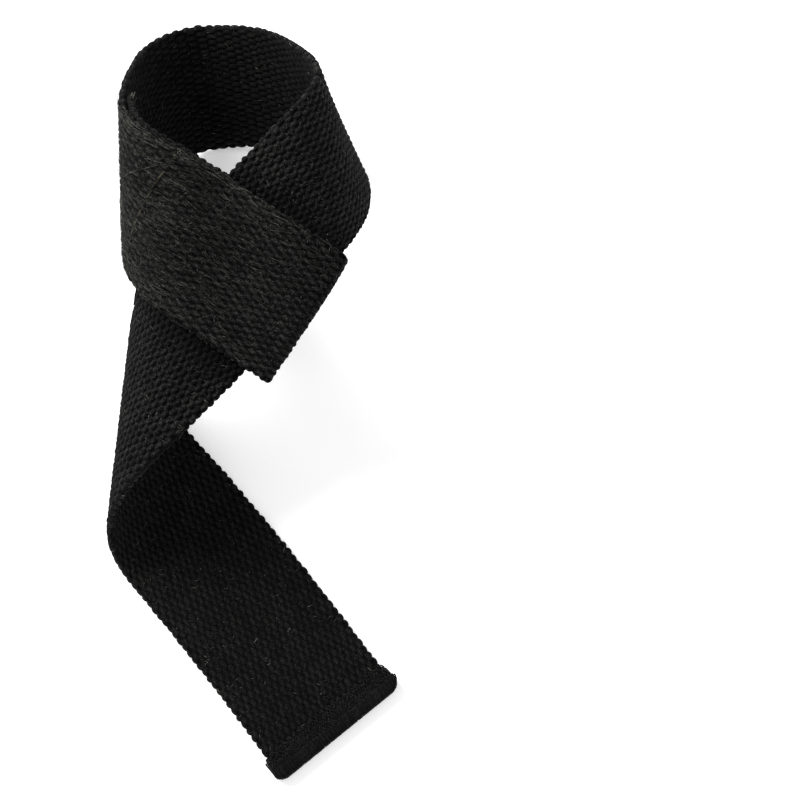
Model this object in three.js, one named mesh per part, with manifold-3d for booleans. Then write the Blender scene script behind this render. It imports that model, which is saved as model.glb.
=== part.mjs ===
// Weightlifting strap: one band of cotton webbing with a stitched slot at one end. The band passes back
// through its own slot to make an open wrist loop, folds over once and lies out flat to an overlocked end.
// Millimetres and degrees, +X to the right, +Y from the tail to the loop, +Z up from the floor.

import * as THREE from 'three';
import { mergeVertices } from 'three/addons/utils/BufferGeometryUtils.js';
import Module from 'manifold-3d';

// Webbing, and the gap that its layers keep
const strapWidth = 38;
const strapThickness = 2;
const layerGap = 0.3;

// Slot: how far the end is turned back, how much the passing band is pinched at its mouth, and the length
// over which the back layer steps up to the front layer beside the passing band
const slotLength = 68;
const slotPinch = 2.2;
const pinchLength = 25;
const stepLength = 8;
const diveLength = 45;

// Front of the loop: its tilt from the floor, the lean of the line from the loop's apex through the crossing,
// the front layer's slope to the ring there, and the distance of the crossing from the apex
const frontTilt = 19.1;
const frontLean = 4.6;
const frontSlope = 39.2;
const crossingReach = 147;

// Section of the loop's cone at a distance from its apex: half widths, depths and the flat of its front
const sectionReach = 120;
const loopLeft = 21.9;
const loopRight = 26.8;
const loopFront = 18;
const loopBack = 34.6;
const flatLeft = 8;
const flatRight = 8;
const backShift = 6;

// How the wall departs from the cone: it bulges, and its lower edge flares out or in, in shares of these two.
// The place is a share of the way round, from the crossing by the left, the back and the right.
const wallBulge = 5.5;
const wallFlare = 10;
const wallRows = [
    { place: 0, bulge: 0, flare: 0 },
    { place: 0.16, bulge: 1, flare: -0.6 },
    { place: 0.32, bulge: 0.7, flare: -0.9 },
    { place: 0.5, bulge: 0.59, flare: 0.63 },
    { place: 0.66, bulge: 0.6, flare: 1.04 },
    { place: 0.82, bulge: 0.41, flare: 0.07 },
    { place: 1, bulge: 0, flare: 0 },
];

// Tail, from the crossing to its end: where the lower fold's apex lies to the side and where its axis heads
const tailLength = 153.5;
const foldSide = 41.9;
const foldHeading = 105.8;
const exitBlend = 14;

// The slight bends that the band keeps in its own plane: at the slot's mouth, the upper stretch and the tail
const mouthTurn = 4.4;
const mouthTurnLength = 30;
const mouthTurnLead = 56;
const upperTurn = -2.3;
const upperTurnLength = 35;
const upperTurnStart = 6;
const tailTurn = 6.7;
const tailTurnLength = 80;
const tailTurnStart = 50;

// Overlocked end: how far its threads reach in, how thick they lie, how far they spread past the edges, and
// the length over which the band rises to them
const bindingDepth = 6;
const bindingThread = 0.7;
const bindingSpread = 1.3;
const endRise = 25;

// The end is cut a little aslant: the length gained per length across, taken up over the same stretch
const endSlant = 0.04;

// Fineness of the facets
const alongStep = 2.5;
const acrossSteps = 10;
const edgeSteps = 4;
const bendSteps = 8;
const coneSteps = 40;
const routeStep = 0.5;

const radians = THREE.MathUtils.degToRad;
const wrapped = THREE.MathUtils.euclideanModulo;
const halfWidth = strapWidth / 2;
const halfThickness = strapThickness / 2;
const layerPitch = strapThickness + layerGap;
const origin = new THREE.Vector2();
const floorNormal = new THREE.Vector3( 0, 0, 1 );
const rightward = new THREE.Vector3( 1, 0, 0 );

// Smooth step from 0 to 1 as x goes from 0 to 1
const ease = ( x ) => THREE.MathUtils.smoothstep( x, 0, 1 );

// A value at a place between two rows of a table
function between( rows, key, place ) {

    const after = Math.max( 1, rows.findIndex( ( row ) => row.place > place ) );
    const [ a, b ] = [ rows[ after - 1 ], rows[ after ] ];
    return a[ key ] + ( b[ key ] - a[ key ] ) * ease( ( place - a.place ) / ( b.place - a.place ) );

}

// The front plane, the line in it from the loop's apex through the crossing, and the line square to that
const tilt = radians( frontTilt );
const lean = radians( frontLean );
const slope = radians( frontSlope );
const frontNormal = floorNormal.clone().applyAxisAngle( rightward, tilt );
const slopeUp = frontNormal.clone().cross( rightward );
const frontRay = slopeUp.clone().multiplyScalar( - Math.cos( lean ) )
    .addScaledVector( rightward, Math.sin( lean ) );
const frontSide = frontNormal.clone().cross( frontRay );

// A cone as a table of rays: the angle of each from the first when the cone is laid flat, its direction, and
// the normal of the cone there
function coneTable( rays, outward ) {

    const table = { angle: [ 0 ], ray: rays, normal: [] };
    for ( let i = 1; i < rays.length; i ++ ) {

        table.angle.push( table.angle[ i - 1 ] + rays[ i ].angleTo( rays[ i - 1 ] ) );

    }

    for ( let i = 0; i < rays.length; i ++ ) {

        const along = rays[ Math.min( rays.length - 1, i + 1 ) ].clone().sub( rays[ Math.max( 0, i - 1 ) ] );
        table.normal.push( along.cross( rays[ i ] ).normalize().multiplyScalar( outward ) );

    }

    return table;

}

// The ray and the normal of a cone at an angle
function coneAt( table, angle ) {

    const found = table.angle.findIndex( ( value ) => value > angle );
    const b = found < 0 ? table.angle.length - 1 : Math.max( 1, found );
    const share = ( angle - table.angle[ b - 1 ] ) / ( table.angle[ b ] - table.angle[ b - 1 ] );
    return {
        ray: table.ray[ b - 1 ].clone().lerp( table.ray[ b ], share ).normalize(),
        normal: table.normal[ b - 1 ].clone().lerp( table.normal[ b ], share ).normalize(),
    };

}

// The wrist loop's cone, from the crossing round by the left. Its section is flat in front, with four quarter
// ellipses for the corners and the back.
function makeLoopCone() {

    const outline = new THREE.Path();
    outline.moveTo( 0, loopFront );
    outline.lineTo( - flatLeft, loopFront );
    outline.absellipse( - flatLeft, 0, loopLeft - flatLeft, loopFront, Math.PI / 2, Math.PI );
    outline.absellipse( - backShift, 0, loopLeft - backShift, loopBack, Math.PI, Math.PI * 1.5 );
    outline.absellipse( - backShift, 0, loopRight + backShift, loopBack, Math.PI * 1.5, Math.PI * 2 );
    outline.absellipse( flatRight, 0, loopRight - flatRight, loopFront, 0, Math.PI / 2 );
    outline.lineTo( 0, loopFront );

    // the axis lies behind the front plane by the section's depth in front
    const behind = Math.atan2( loopFront, sectionReach );
    const axis = frontRay.clone().applyAxisAngle( frontSide, behind );
    const forward = frontNormal.clone().applyAxisAngle( frontSide, behind );
    const rays = outline.getPoints( coneSteps ).map( ( point ) => axis.clone().multiplyScalar( sectionReach )
        .addScaledVector( frontSide, point.x ).addScaledVector( forward, point.y ).normalize() );
    const table = coneTable( rays.filter( ( ray, i ) => i === 0 || ray.angleTo( rays[ i - 1 ] ) > 1e-5 ), 1 );
    table.normal[ 0 ] = frontNormal;
    table.normal[ table.normal.length - 1 ] = frontNormal;
    return table;

}

const loopCone = makeLoopCone();
const loopAngle = loopCone.angle.at( - 1 );
const loopLength = 2 * crossingReach * Math.sin( slope );
const tailEnd = loopLength + tailLength;

// The band's middle line with the loop's cone laid flat, apex at the origin, the crossing on +Y. It heads for
// the apex by the front slope, and each turn changes its heading evenly over a length.
const turns = [
    { from: loopLength - mouthTurnLead, over: mouthTurnLength, by: mouthTurn },
    { from: loopLength + upperTurnStart, over: upperTurnLength, by: upperTurn },
    { from: loopLength + tailTurnStart, over: tailTurnLength, by: tailTurn },
];

function headingAt( along ) {

    const shareOf = ( turn ) => THREE.MathUtils.clamp( ( along - turn.from ) / turn.over, 0, 1 );
    return radians( turns.reduce( ( sum, turn ) => sum + turn.by * shareOf( turn ), 0 ) ) - slope;

}

const route = [ new THREE.Vector2( 0, crossingReach ) ];
for ( let along = 0; along < tailEnd + bindingDepth; along += routeStep ) {

    const heading = headingAt( along + routeStep / 2 );
    route.push( new THREE.Vector2( Math.cos( heading ), Math.sin( heading ) ).multiplyScalar( routeStep )
        .add( route.at( - 1 ) ) );

}

// A point of the band laid flat; across grows away from the apex
function flatPoint( along, across ) {

    const heading = headingAt( along );
    const step = THREE.MathUtils.clamp( Math.floor( along / routeStep ), 0, route.length - 2 );
    const middle = route[ step ].clone().lerp( route[ step + 1 ], along / routeStep - step );
    const side = new THREE.Vector2( - Math.sin( heading ), Math.cos( heading ) );
    return middle.addScaledVector( side, across );

}

// A point of the passing band, laid flat on the front layer's side of the crossing
const passingPoint = ( along, across ) => flatPoint( along, across ).rotateAround( origin, loopAngle );

// That point in the front layer's own length and width, from the crossing
function inFrontLayer( point ) {

    const place = point.clone().sub( route[ 0 ] ).rotateAround( origin, slope );
    return { along: place.x, across: place.y };

}

// A point of the passing band in the front plane, from the crossing
function inFrontPlane( point ) {

    return frontRay.clone().multiplyScalar( point.y - crossingReach ).addScaledVector( frontSide, - point.x );

}

// The angle between the crossing layers, and where along the front layer the passing band's middle crosses it
const crossingAngle = loopAngle + radians( mouthTurn );
const crossingPoint = inFrontLayer( passingPoint( loopLength, 0 ) );
const crossingShift = crossingPoint.along - crossingPoint.across / Math.tan( crossingAngle );
const passingReach = halfWidth / Math.sin( crossingAngle ) + halfWidth / Math.tan( crossingAngle );
const mouth = loopLength - passingReach;

// The outer half of the band is pinched where it enters the slot
function pinched( across, along ) {

    const near = slotPinch * ease( 1 - Math.abs( along - mouth ) / pinchLength );
    return across > 0 ? across - near * ( across / halfWidth ) ** 2 : across;

}

// The slot's fold starts where it just clears the pinched band
const slotEnd = passingReach - slotPinch - crossingShift + layerGap - ( layerPitch - halfThickness );

// A point of the band on the loop's wall, from the crossing, so far inside the outermost layer's middle
function onLoop( along, across, inward ) {

    const flat = flatPoint( along, across );
    const angle = Math.atan2( flat.x, flat.y );
    const round = along > loopLength / 2 && angle < 0 ? 2 * Math.PI : 0;
    const place = wrapped( angle + round, loopAngle ) / loopAngle;
    const { ray, normal } = coneAt( loopCone, place * loopAngle );
    const middle = crossingReach * Math.cos( slope ) / Math.cos( ( place - 0.5 ) * loopAngle );
    const flare = Math.tan( radians( wallFlare * between( wallRows, 'flare', place ) ) );
    const bulge = wallBulge * between( wallRows, 'bulge', place ) + ( flat.length() - middle ) * flare;
    return frontRay.clone().multiplyScalar( - crossingReach )
        .addScaledVector( ray, flat.length() ).addScaledVector( normal, bulge - inward );

}

// The loop stands on its lowest edge, which sets the crossing's height over the floor
function lowestOfLoop() {

    let lowest = Infinity;
    for ( let along = 0; along < mouth; along += alongStep ) {

        for ( const [ across, outward ] of bandSection( strapWidth, strapThickness ) ) {

            lowest = Math.min( lowest, onLoop( along, across, - outward ).z );

        }

    }

    return lowest;

}

const crossing = new THREE.Vector3( 0, 0, - lowestOfLoop() );

// The apex of the lower fold lies where the passing band's plane meets the tail's
const passingOrigin = crossing.clone().addScaledVector( frontNormal, - layerPitch );
const foldApex = passingOrigin.clone().addScaledVector( rightward, - foldSide )
    .addScaledVector( slopeUp, ( halfThickness - passingOrigin.z ) / slopeUp.z );

// The lower fold's cone touches both planes: rays down the front plane from the right, round the fold by the
// left, and out over the floor to the right
function makeFoldCone() {

    const heading = radians( foldHeading );
    const axis = slopeUp.clone().applyAxisAngle( rightward, - tilt / 2 ).multiplyScalar( Math.sin( heading ) )
        .addScaledVector( rightward, - Math.cos( heading ) );
    const frontTouch = axis.clone().projectOnPlane( frontNormal ).normalize();
    const floorTouch = axis.clone().projectOnPlane( floorNormal ).normalize();
    const from = frontTouch.clone().projectOnPlane( axis );
    const to = floorTouch.clone().projectOnPlane( axis );
    const round = wrapped( Math.atan2( to.clone().cross( from ).dot( axis ), from.dot( to ) ), 2 * Math.PI );
    const sweep = Math.PI * 0.8;
    const rays = [];
    for ( let i = coneSteps; i > 0; i -- ) {

        rays.push( frontTouch.clone().applyAxisAngle( frontNormal, - sweep * i / coneSteps ) );

    }

    for ( let i = 0; i < 2 * coneSteps; i ++ ) {

        rays.push( frontTouch.clone().applyAxisAngle( axis, - round * i / ( 2 * coneSteps ) ) );

    }

    for ( let i = 0; i <= coneSteps; i ++ ) {

        rays.push( floorTouch.clone().applyAxisAngle( floorNormal, - sweep * i / coneSteps ) );

    }

    const table = coneTable( rays, - 1 );
    table.first = table.angle[ coneSteps ];
    table.touch = Math.atan2( frontTouch.dot( slopeUp ), frontTouch.x );
    return table;

}

const foldCone = makeFoldCone();

// A point of the band on the lower fold or the tail, whose end rises by the binding's thread
function onTail( station, across, outward ) {

    const along = station + across * endSlant * ease( ( station - tailEnd + endRise ) / endRise );
    const place = inFrontPlane( passingPoint( along, across ) ).add( passingOrigin ).sub( foldApex );
    const heading = Math.atan2( place.dot( slopeUp ), place.x );
    const angle = wrapped( heading - foldCone.touch + foldCone.first, 2 * Math.PI );
    const { ray, normal } = coneAt( foldCone, angle );
    const risen = ease( ( station - tailEnd + bindingDepth + endRise ) / endRise );
    return foldApex.clone().addScaledVector( ray, place.length() ).addScaledVector( normal, outward )
        .addScaledVector( floorNormal, ( bindingThread + layerGap ) * risen );

}

// A point of the band from the slot's fold to the tail's end. It dives under the front layer before the slot,
// and past the slot's lower edge it leaves the loop's wall for the lower fold.
function onBand( along, across, outward ) {

    const narrowed = pinched( across, along );
    const dive = layerPitch * ease( ( along - mouth + diveLength ) / diveLength );
    const wall = onLoop( along, narrowed, dive - outward ).add( crossing );
    if ( along < mouth ) return wall;
    const past = inFrontLayer( passingPoint( along, narrowed ) ).across - halfWidth;
    return past > 0 ? wall.lerp( onTail( along, narrowed, outward ), ease( past / exitBlend ) ) : wall;

}

// A point of the turned-back layer, under the passing band and stepping up to the front layer beside it
function onBackLayer( along, across, outward ) {

    const middleEdge = crossingShift + halfWidth / Math.sin( crossingAngle );
    const passingEdge = middleEdge + across / Math.tan( crossingAngle );
    const step = ease( ( along - passingEdge - layerGap ) / stepLength );
    return onLoop( along, across, layerPitch * ( 2 - step ) + outward ).add( crossing );

}

// A point of the slot's fold, a share of the way from the back layer to the front layer
function onSlotFold( share, across, outward ) {

    const angle = Math.PI * share;
    const radius = layerPitch + outward;
    const along = - slotEnd - radius * Math.sin( angle );
    return onLoop( along, across, layerPitch + radius * Math.cos( angle ) ).add( crossing );

}

// A band's section with flat faces and round edges, as pairs of across and outward
function bandSection( width, thickness ) {

    const flat = ( width - thickness ) / 2;
    const points = [];
    for ( const side of [ 1, - 1 ] ) {

        for ( let i = 0; i <= acrossSteps; i ++ ) {

            points.push( [ side * flat * ( 1 - 2 * i / acrossSteps ), side * thickness / 2 ] );

        }

        for ( let i = 1; i < edgeSteps; i ++ ) {

            const angle = Math.PI * i / edgeSteps;
            const past = Math.sin( angle ) * thickness / 2;
            points.push( [ - side * ( flat + past ), side * Math.cos( angle ) * thickness / 2 ] );

        }

    }

    return points;

}

// A closed body through rings of points that all follow the band's section. The facets of the first rings, as
// many as are turned, split the other way, so that the back layer's lie flat against the front layer's.
function loft( rings, turned = 0 ) {

    const count = rings[ 0 ].length;
    const last = ( rings.length - 1 ) * count;
    const index = [];
    for ( let start = 0; start < last; start += count ) {

        for ( let i = 0; i < count; i ++ ) {

            const [ a, b ] = [ start + i, start + ( i + 1 ) % count ];
            if ( start < turned * count ) index.push( a, b, a + count, b, b + count, a + count );
            else index.push( a, b + count, a + count, a, b, b + count );

        }

    }

    // each end in strips from face to face, with a fan at either edge
    const under = ( i ) => 2 * acrossSteps + edgeSteps - i;
    for ( const [ start, turn ] of [ [ 0, - 1 ], [ last, 1 ] ] ) {

        const close = ( ...corners ) => {

            if ( turn < 0 ) corners.reverse();
            index.push( ...corners.map( ( i ) => start + i % count ) );

        };

        for ( let i = 0; i < acrossSteps; i ++ ) {

            close( i, i + 1, under( i + 1 ) );
            close( i, under( i + 1 ), under( i ) );

        }

        for ( const corner of [ acrossSteps, under( 0 ) ] ) {

            for ( let i = 1; i < edgeSteps; i ++ ) close( corner, corner + i, corner + i + 1 );

        }

    }

    const places = rings.flat().flatMap( ( point ) => point.toArray() );
    const geometry = new THREE.BufferGeometry();
    geometry.setAttribute( 'position', new THREE.Float32BufferAttribute( places, 3 ) );
    geometry.setIndex( index );
    return geometry;

}

// Even stations from one length to another, both ends included
function stations( from, to, step ) {

    const count = Math.max( 1, Math.round( Math.abs( to - from ) / step ) );
    return Array.from( { length: count + 1 }, ( _, i ) => from + ( to - from ) * i / count );

}

function makeWebbing() {

    const section = bandSection( strapWidth, strapThickness );
    const ring = ( surface, at ) => section.map( ( [ across, outward ] ) => surface( at, across, outward ) );
    const back = stations( slotLength - slotEnd, - slotEnd, alongStep );
    const bend = stations( 0, 1, 1 / bendSteps ).slice( 1, - 1 );
    const band = stations( - slotEnd, tailEnd, alongStep );
    return loft( [
        ...back.map( ( at ) => ring( onBackLayer, at ) ),
        ...bend.map( ( at ) => ring( onSlotFold, at ) ),
        ...band.map( ( at ) => ring( onBand, at ) ),
    ], back.length - 1 );

}

// The threads wrapped over the tail's end: a block round the end, less the end itself with its gap
const bindingRows = [
    { past: -1, spread: 0.7, thickness: 0.8 },
    { past: -0.8, spread: 0.8, thickness: 1 },
    { past: -0.4, spread: 0.9, thickness: 1 },
    { past: 0, spread: 1, thickness: 1 },
    { past: 0.1, spread: 1, thickness: 0.9 },
    { past: 0.17, spread: 0.8, thickness: 0.6 },
];

async function makeBinding() {

    const wasm = await Module();
    wasm.setup();
    const ring = ( past, width, thickness ) => bandSection( width, thickness )
        .map( ( [ across, outward ] ) => onBand( tailEnd + past, across, outward ) );
    const solid = ( rings ) => {

        const geometry = mergeVertices( loft( rings ) );
        return new wasm.Manifold( new wasm.Mesh( {
            numProp: 3,
            vertProperties: geometry.attributes.position.array,
            triVerts: new Uint32Array( geometry.index.array ),
        } ) );

    };

    const thickness = strapThickness + 2 * ( layerGap + bindingThread );
    const block = solid( bindingRows.map( ( row ) => ring(
        row.past * bindingDepth, strapWidth + 2 * bindingSpread * row.spread, thickness * row.thickness ) ) );
    const pocket = solid( stations( - bindingDepth - 1, layerGap, 1 ).map( ( past ) => ring(
        past, strapWidth + 2 * layerGap, strapThickness + 2 * layerGap ) ) );
    const mesh = block.subtract( pocket ).getMesh();
    const geometry = new THREE.BufferGeometry();
    geometry.setAttribute( 'position', new THREE.Float32BufferAttribute( mesh.vertProperties, 3 ) );
    geometry.setIndex( new THREE.Uint32BufferAttribute( mesh.triVerts, 1 ) );
    return geometry;

}

// Black cotton: matt, a little lighter where the overlock thread lies
function piece( name, geometry, colour, roughness ) {

    const material = new THREE.MeshStandardMaterial( { color: colour, roughness, metalness: 0 } );
    const mesh = new THREE.Mesh( geometry, material );
    mesh.name = name;
    return mesh;

}

const strap = new THREE.Group();
strap.add( piece( 'webbing', makeWebbing(), 0x17171a, 0.95 ) );
strap.add( piece( 'end_binding', await makeBinding(), 0x1c1c1f, 0.9 ) );

// The origin is under the middle of the strap, on the floor
const box = new THREE.Box3().setFromObject( strap );
const centre = box.getCenter( new THREE.Vector3() );
strap.position.set( - centre.x, - centre.y, - box.min.z );

export default strap;
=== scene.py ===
"""Looks of the weightlifting strap: black cotton webbing through its own slot, on a pale floor.

The band's surface follows the same driving sizes as the CAD source, in millimetres, and is turned to
metres when the meshes are made. Length is counted along the cloth from its raw inner end, across from
the edge nearer the loop's apex, and outward from the middle of its thickness. Along is counted on the
band, from the crossing round the wrist loop and out to the end of the tail.
"""
import math

import bpy
import numpy as np
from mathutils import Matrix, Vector


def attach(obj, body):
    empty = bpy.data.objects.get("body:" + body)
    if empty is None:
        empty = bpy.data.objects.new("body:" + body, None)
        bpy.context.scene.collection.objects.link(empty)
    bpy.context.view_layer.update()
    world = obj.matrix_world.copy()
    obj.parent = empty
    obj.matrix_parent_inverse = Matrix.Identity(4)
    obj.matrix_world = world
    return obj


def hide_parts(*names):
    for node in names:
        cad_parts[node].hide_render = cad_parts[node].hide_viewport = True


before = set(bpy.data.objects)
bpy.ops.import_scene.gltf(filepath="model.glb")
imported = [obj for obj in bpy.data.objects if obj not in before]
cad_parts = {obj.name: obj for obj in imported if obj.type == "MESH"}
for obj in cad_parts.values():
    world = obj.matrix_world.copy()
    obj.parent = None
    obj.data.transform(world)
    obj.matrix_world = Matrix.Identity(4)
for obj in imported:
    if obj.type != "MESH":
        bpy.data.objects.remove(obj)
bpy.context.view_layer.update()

# Sizes shared with the CAD source
STRAP_WIDTH = 38.0
STRAP_THICKNESS = 2.0
LAYER_GAP = 0.3
SLOT_LENGTH = 68.0
SLOT_PINCH = 2.2
PINCH_LENGTH = 25.0
STEP_LENGTH = 8.0
DIVE_LENGTH = 45.0
FRONT_TILT = 19.1
FRONT_LEAN = 4.6
FRONT_SLOPE = 39.2
CROSSING_REACH = 147.0
SECTION_REACH = 120.0
LOOP_LEFT = 21.9
LOOP_RIGHT = 26.8
LOOP_FRONT = 18.0
LOOP_BACK = 34.6
FLAT_LEFT = 8.0
FLAT_RIGHT = 8.0
BACK_SHIFT = 6.0
WALL_BULGE = 5.5
WALL_FLARE = 10.0
WALL_PLACE = [0, 0.16, 0.32, 0.5, 0.66, 0.82, 1]
WALL_BULGES = [0, 1, 0.7, 0.59, 0.6, 0.41, 0]
WALL_FLARES = [0, -0.6, -0.9, 0.63, 1.04, 0.07, 0]
TAIL_LENGTH = 153.5
FOLD_SIDE = 41.9
FOLD_HEADING = 105.8
EXIT_BLEND = 14.0
MOUTH_TURN = 4.4
UPPER_TURN = -2.3
TAIL_TURN = 6.7
BINDING_DEPTH = 6.0
BINDING_THREAD = 0.7
BINDING_SPREAD = 1.3
END_RISE = 25.0
END_SLANT = 0.04

# Place of the crossing over the frame's origin
CROSSING_X = -3.09
CROSSING_Y = 25.74
CROSSING_Z = 47.82

# Weave: the core of the cloth, and the warp floats that stand out of it
CORE_HALF = 0.55
CORE_INSET = 0.55
CORE_STEPS = (300, 22, 6)
WEFT_PITCH = 2.13
FLOAT_PITCH = 2 * WEFT_PITCH
COLUMN_PITCH = 0.9
SELVAGE_BAND = 0.8
FLOAT_LENGTH = 3.1
FLOAT_WIDTH = 1.55
INNER_WIDTH = 1.7
FLOAT_HEIGHT = 0.72
FLOAT_STEPS = (7, 5)
SEAT_SINK = 0.05
END_CLEAR = 0.5
WANDER_ALONG = 0.05
WANDER_ACROSS = 0.03
SELVAGE_LENGTH = 2.3
SELVAGE_WIDTH = 1.8
SELVAGE_HEIGHT = 0.82
SELVAGE_START = 0.6
SELVAGE_INSET = 0.85
SELVAGE_TONES = (0.0, 0.4)

# A float sinks into the core by this share of its height, and its foot keeps this share of its tone as
# painted shade, which deepens towards the foot by these powers of the height, on the outer and the
# inner face.
FLOAT_SINK = 0.12
FOOT_SHADE = 0.1
OUTER_FALLOFF = 1.5
INNER_FALLOFF = 1.7

# Fibres that can be told apart along and across a float, and how far they slant
FIBRES_ALONG = 2.5
FIBRES_ACROSS = 6.0
FIBRE_SLANT = 0.2

# Tones of the floats: their spread, what is added towards the edges, and the painted shade taken off in
# the slot, less and less until this far out of it
FLOAT_TONES = (-0.1, 0.12)
EDGE_LIGHTENING = 0.12
SLOT_PAINTED_SHADE = 0.4
SLOT_SHADE = 9.0

# Fibres rubbed loose: their middle and spread along the band, their number, the lengths, slant and bow
# of each, how far out they lie, their thickness and tones, and the share, place and tone of those on
# the rim
RUB_AT = 26.0
RUB_SPREAD = 19.0
RUB_COUNT = 1500
RUB_REACH = (1.5, 5.5)
RUB_SLANT = 0.16
RUB_BOW = 0.2
RUB_OUT = 1.08
RUB_LIFT = 0.3
RUB_RADII = (0.018, 0.038)
RUB_TONES = (-0.3, 0.6)
RUB_CONTRAST = 3
RUB_INSET = 0.5
RIM_SHARE = 0.06
RIM_INSET = 0.4
RIM_SPREAD = 1.0
RIM_TONE = 0.4

# Closing seam: its place on the band, its slant, where it starts and stops short of the edges, and the
# length, width and height of a stitch
SEAM_AT = 28.3
SEAM_SLANT = -0.085
SEAM_START = 2.5
SEAM_STOP = 6.0
SEAM_PITCH = 2.8
SEAM_OUT = 0.93
SEAM_STITCH = (2.4, 0.5, 0.34)
SEAM_TONES = (-0.1, 0.9)

# Overlocked end: the wrapped threads, and the stitches that they lock into, with how far the threads
# wander, and the stitches across, outward and along
OVERLOCK_PITCH = 0.4
OVERLOCK_BAND = 2.7
OVERLOCK_OUT = 1.5
OVERLOCK_TIP = 0.7
OVERLOCK_SLANT = 0.3
OVERLOCK_RADII = (0.19, 0.24)
OVERLOCK_TONES = (0.0, 0.3)
OVERLOCK_INSET = 0.3
OVERLOCK_FOOT = 0.4
OVERLOCK_WANDER = 0.08
OVERLOCK_UNEVEN = 0.3
OVERLOCK_WOBBLE = 0.05
STITCH_ROWS = [-3.1, -3.9, -4.7, -5.5, -6.3]
STITCH_PITCH = 0.8
STITCH_LEAN = 0.6
STITCH_REACH = 0.9
STITCH_HUMP = [1.25, 1.6, 1.6, 1.25]
STITCH_RADIUS = 0.17
STITCH_TONES = (0.0, 0.7)
WANDER_STITCH = (0.1, 0.07, 0.12)
CORNER_ROUND = 3.5

# Frayed inner end: the pitch of its thread ends, their lengths, where they start, how they stray across
# and outward, and their thickness and tones
FRAY_PITCH = 0.13
FRAY_INSETS = (0.2, 0.3)
FRAY_STRAY = 0.7
FRAY_BEND = 0.5
FRAY_REACH = (0.6, 3.4)
FRAY_START = 0.6
FRAY_RADII = (0.05, 0.15)
FRAY_TONES = (-0.3, 0.6)

# Loose hair over the seam: where it starts along and across the band, how far it runs, how it bends
# there and arches off the cloth
HAIR_ALONG = 35.5
HAIR_ACROSS = -3.0
HAIR_RUN = (6.0, 10.0)
HAIR_BEND = 0.5
HAIR_CURVE = 0.7
HAIR_OUT = 1.3
HAIR_ARCH = 0.4
HAIR_RADIUS = 0.035
HAIR_TONE = 0.35

# The bound end under its threads: place past the cloth's end, half width and thickness, and its tone
BODY_ROWS = [
    (-6.2, 19.3, 2.3),
    (-5.0, 19.6, 2.7),
    (-3.0, 19.9, 2.8),
    (-2.0, 19.8, 2.8),
    (-1.2, 19.5, 2.8),
    (-0.5, 18.8, 2.7),
    (0.0, 17.9, 2.4),
    (0.35, 16.9, 1.8),
    (0.55, 16.0, 1.0),
]
BODY_STEPS = (30, 8)
BODY_TONE = 0.15
BODY_RISE = 0.5

HALF_WIDTH = STRAP_WIDTH / 2
HALF_THICKNESS = STRAP_THICKNESS / 2
LAYER_PITCH = STRAP_THICKNESS + LAYER_GAP
ROUTE_STEP = 0.5
PROBE = 0.05
CONE_STEPS = 40
FOLD_SWEEP = math.pi * 0.8
MM = 0.001


def ease(x):
    x = np.clip(x, 0, 1)
    return x * x * (3 - 2 * x)


def unit(v):
    return v / np.maximum(np.linalg.norm(v, axis=-1, keepdims=True), 1e-12)


def about(v, axis, angle):
    """v turned about a unit axis."""
    angle = np.asarray(angle, float)[..., None]
    along = (v @ axis)[..., None] * axis
    return along + np.cos(angle) * (v - along) + np.sin(angle) * np.cross(axis, v)


def between(values, place):
    """The value of a table's column at a place, with smooth steps between its rows."""
    rows = np.array(WALL_PLACE)
    values = np.array(values, float)
    after = np.clip(np.searchsorted(rows, place, side="right"), 1, len(rows) - 1)
    share = ease((place - rows[after - 1]) / (rows[after] - rows[after - 1]))
    return values[after - 1] + (values[after] - values[after - 1]) * share


# The front plane, the line in it from the loop's apex through the crossing, and the line square to it
tilt, lean, slope = (math.radians(a) for a in (FRONT_TILT, FRONT_LEAN, FRONT_SLOPE))
rightward = np.array([1.0, 0, 0])
floor_normal = np.array([0, 0, 1.0])
front_normal = np.array([0, -math.sin(tilt), math.cos(tilt)])
slope_up = np.array([0, math.cos(tilt), math.sin(tilt)])
front_ray = math.sin(lean) * rightward - math.cos(lean) * slope_up
front_side = np.cross(front_normal, front_ray)


class Cone:
    """A cone as a table of rays, with the angle of each when the cone is laid flat, and its normals."""

    def __init__(self, rays, outward):
        self.rays = unit(np.array(rays))
        turn = np.arccos(np.clip((self.rays[1:] * self.rays[:-1]).sum(1), -1, 1))
        self.angle = np.concatenate([[0], np.cumsum(turn)])
        ahead = np.concatenate([self.rays[1:], self.rays[-1:]])
        behind = np.concatenate([self.rays[:1], self.rays[:-1]])
        self.normals = unit(np.cross(ahead - behind, self.rays)) * outward

    def at(self, angle):
        rays = np.stack([np.interp(angle, self.angle, self.rays[:, k]) for k in range(3)], -1)
        normals = np.stack([np.interp(angle, self.angle, self.normals[:, k]) for k in range(3)], -1)
        return unit(rays), unit(normals)


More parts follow.
